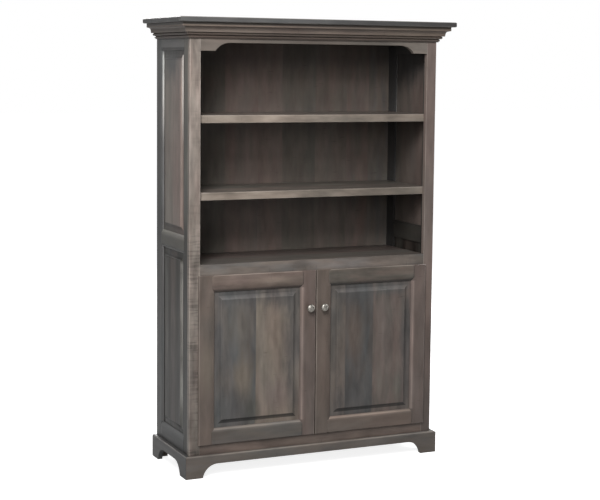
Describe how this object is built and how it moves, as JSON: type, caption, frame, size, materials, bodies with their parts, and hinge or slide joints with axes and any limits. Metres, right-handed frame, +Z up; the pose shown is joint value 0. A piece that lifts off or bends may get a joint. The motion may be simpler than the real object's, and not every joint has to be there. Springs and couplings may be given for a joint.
{
  "type": "bookcase with cabinet doors",
  "caption": "Tall wooden bookcase: open bays with adjustable shelves under a moulded crown, over a cabinet with hinged raised-panel doors, on a plinth of bracket feet.",
  "frame": {"origin": "on the floor, under the middle of the whole object's footprint", "axes": "+Z up, doors and open bays face -Y, +X to the right as seen from the front"},
  "size_m": [1.219, 0.4514, 1.829],
  "materials": {
    "side_wood": "grey-brown stained maple, satin lacquer",
    "frame_wood": "grey-brown stained maple with light curl, satin lacquer",
    "inside_wood": "dark grey-brown stained maple, satin lacquer",
    "shelf_wood": "grey-brown stained maple, satin lacquer",
    "crown_wood": "cool grey-brown stained maple, satin lacquer",
    "plinth_wood": "dark grey-brown stained maple, satin lacquer",
    "door_wood": "stained maple, glued up from boards of slate, tan and mauve grey, satin lacquer",
    "pewter": "antique pewter, softly hammered",
    "nickel": "nickel-plated steel"
  },
  "bodies": {
    "case": {"side_left_front_stile": "side_wood", "side_left_back_stile": "side_wood", "side_left_top_rail": "side_wood", "side_left_middle_rail": "side_wood", "side_left_bottom_rail": "side_wood", "side_left_upper_panel": "side_wood", "side_left_lower_panel": "side_wood", "side_right_front_stile": "side_wood", "side_right_back_stile": "side_wood", "side_right_top_rail": "side_wood", "side_right_middle_rail": "side_wood", "side_right_bottom_rail": "side_wood", "side_right_upper_panel": "side_wood", "side_right_lower_panel": "side_wood", "frame_left_stile": "frame_wood", "frame_right_stile": "frame_wood", "frame_arched_rail": "frame_wood", "frame_middle_rail": "frame_wood", "frame_bottom_rail": "frame_wood", "back_panel": "inside_wood", "sub_top": "inside_wood", "middle_deck": "inside_wood", "bottom_deck": "inside_wood", "upper_shelf": "shelf_wood", "lower_shelf": "shelf_wood", "cabinet_shelf": "shelf_wood", "top_board": "crown_wood", "crown_front": "crown_wood", "crown_left": "crown_wood", "crown_right": "crown_wood", "plinth_front": "plinth_wood", "plinth_left": "plinth_wood", "plinth_right": "plinth_wood", "foot_block_front_left": "inside_wood", "foot_block_front_right": "inside_wood", "foot_block_rear_left": "inside_wood", "foot_block_rear_right": "inside_wood", "door_left_lower_hinge_arm": "nickel", "door_left_upper_hinge_arm": "nickel", "door_right_lower_hinge_arm": "nickel", "door_right_upper_hinge_arm": "nickel"},
    "left_door": {"door_left_hinge_stile": "door_wood", "door_left_meeting_stile": "door_wood", "door_left_top_rail": "door_wood", "door_left_bottom_rail": "door_wood", "door_left_panel": "door_wood", "door_left_knob": "pewter", "door_left_knob_screw": "nickel", "door_left_lower_hinge_cup": "nickel", "door_left_upper_hinge_cup": "nickel"},
    "right_door": {"door_right_hinge_stile": "door_wood", "door_right_meeting_stile": "door_wood", "door_right_top_rail": "door_wood", "door_right_bottom_rail": "door_wood", "door_right_panel": "door_wood", "door_right_knob": "pewter", "door_right_knob_screw": "nickel", "door_right_lower_hinge_cup": "nickel", "door_right_upper_hinge_cup": "nickel"}
  },
  "joints": [
    {"name": "left_door_swing", "type": "hinge", "parent": "case", "child": "left_door", "pos_m": [-0.51, -0.17475, 0.471], "axis": [0, 0, -1], "range_deg": [0, 105]},
    {"name": "right_door_swing", "type": "hinge", "parent": "case", "child": "right_door", "pos_m": [0.51, -0.17475, 0.471], "axis": [0, 0, 1], "range_deg": [0, 105]}
  ]
}
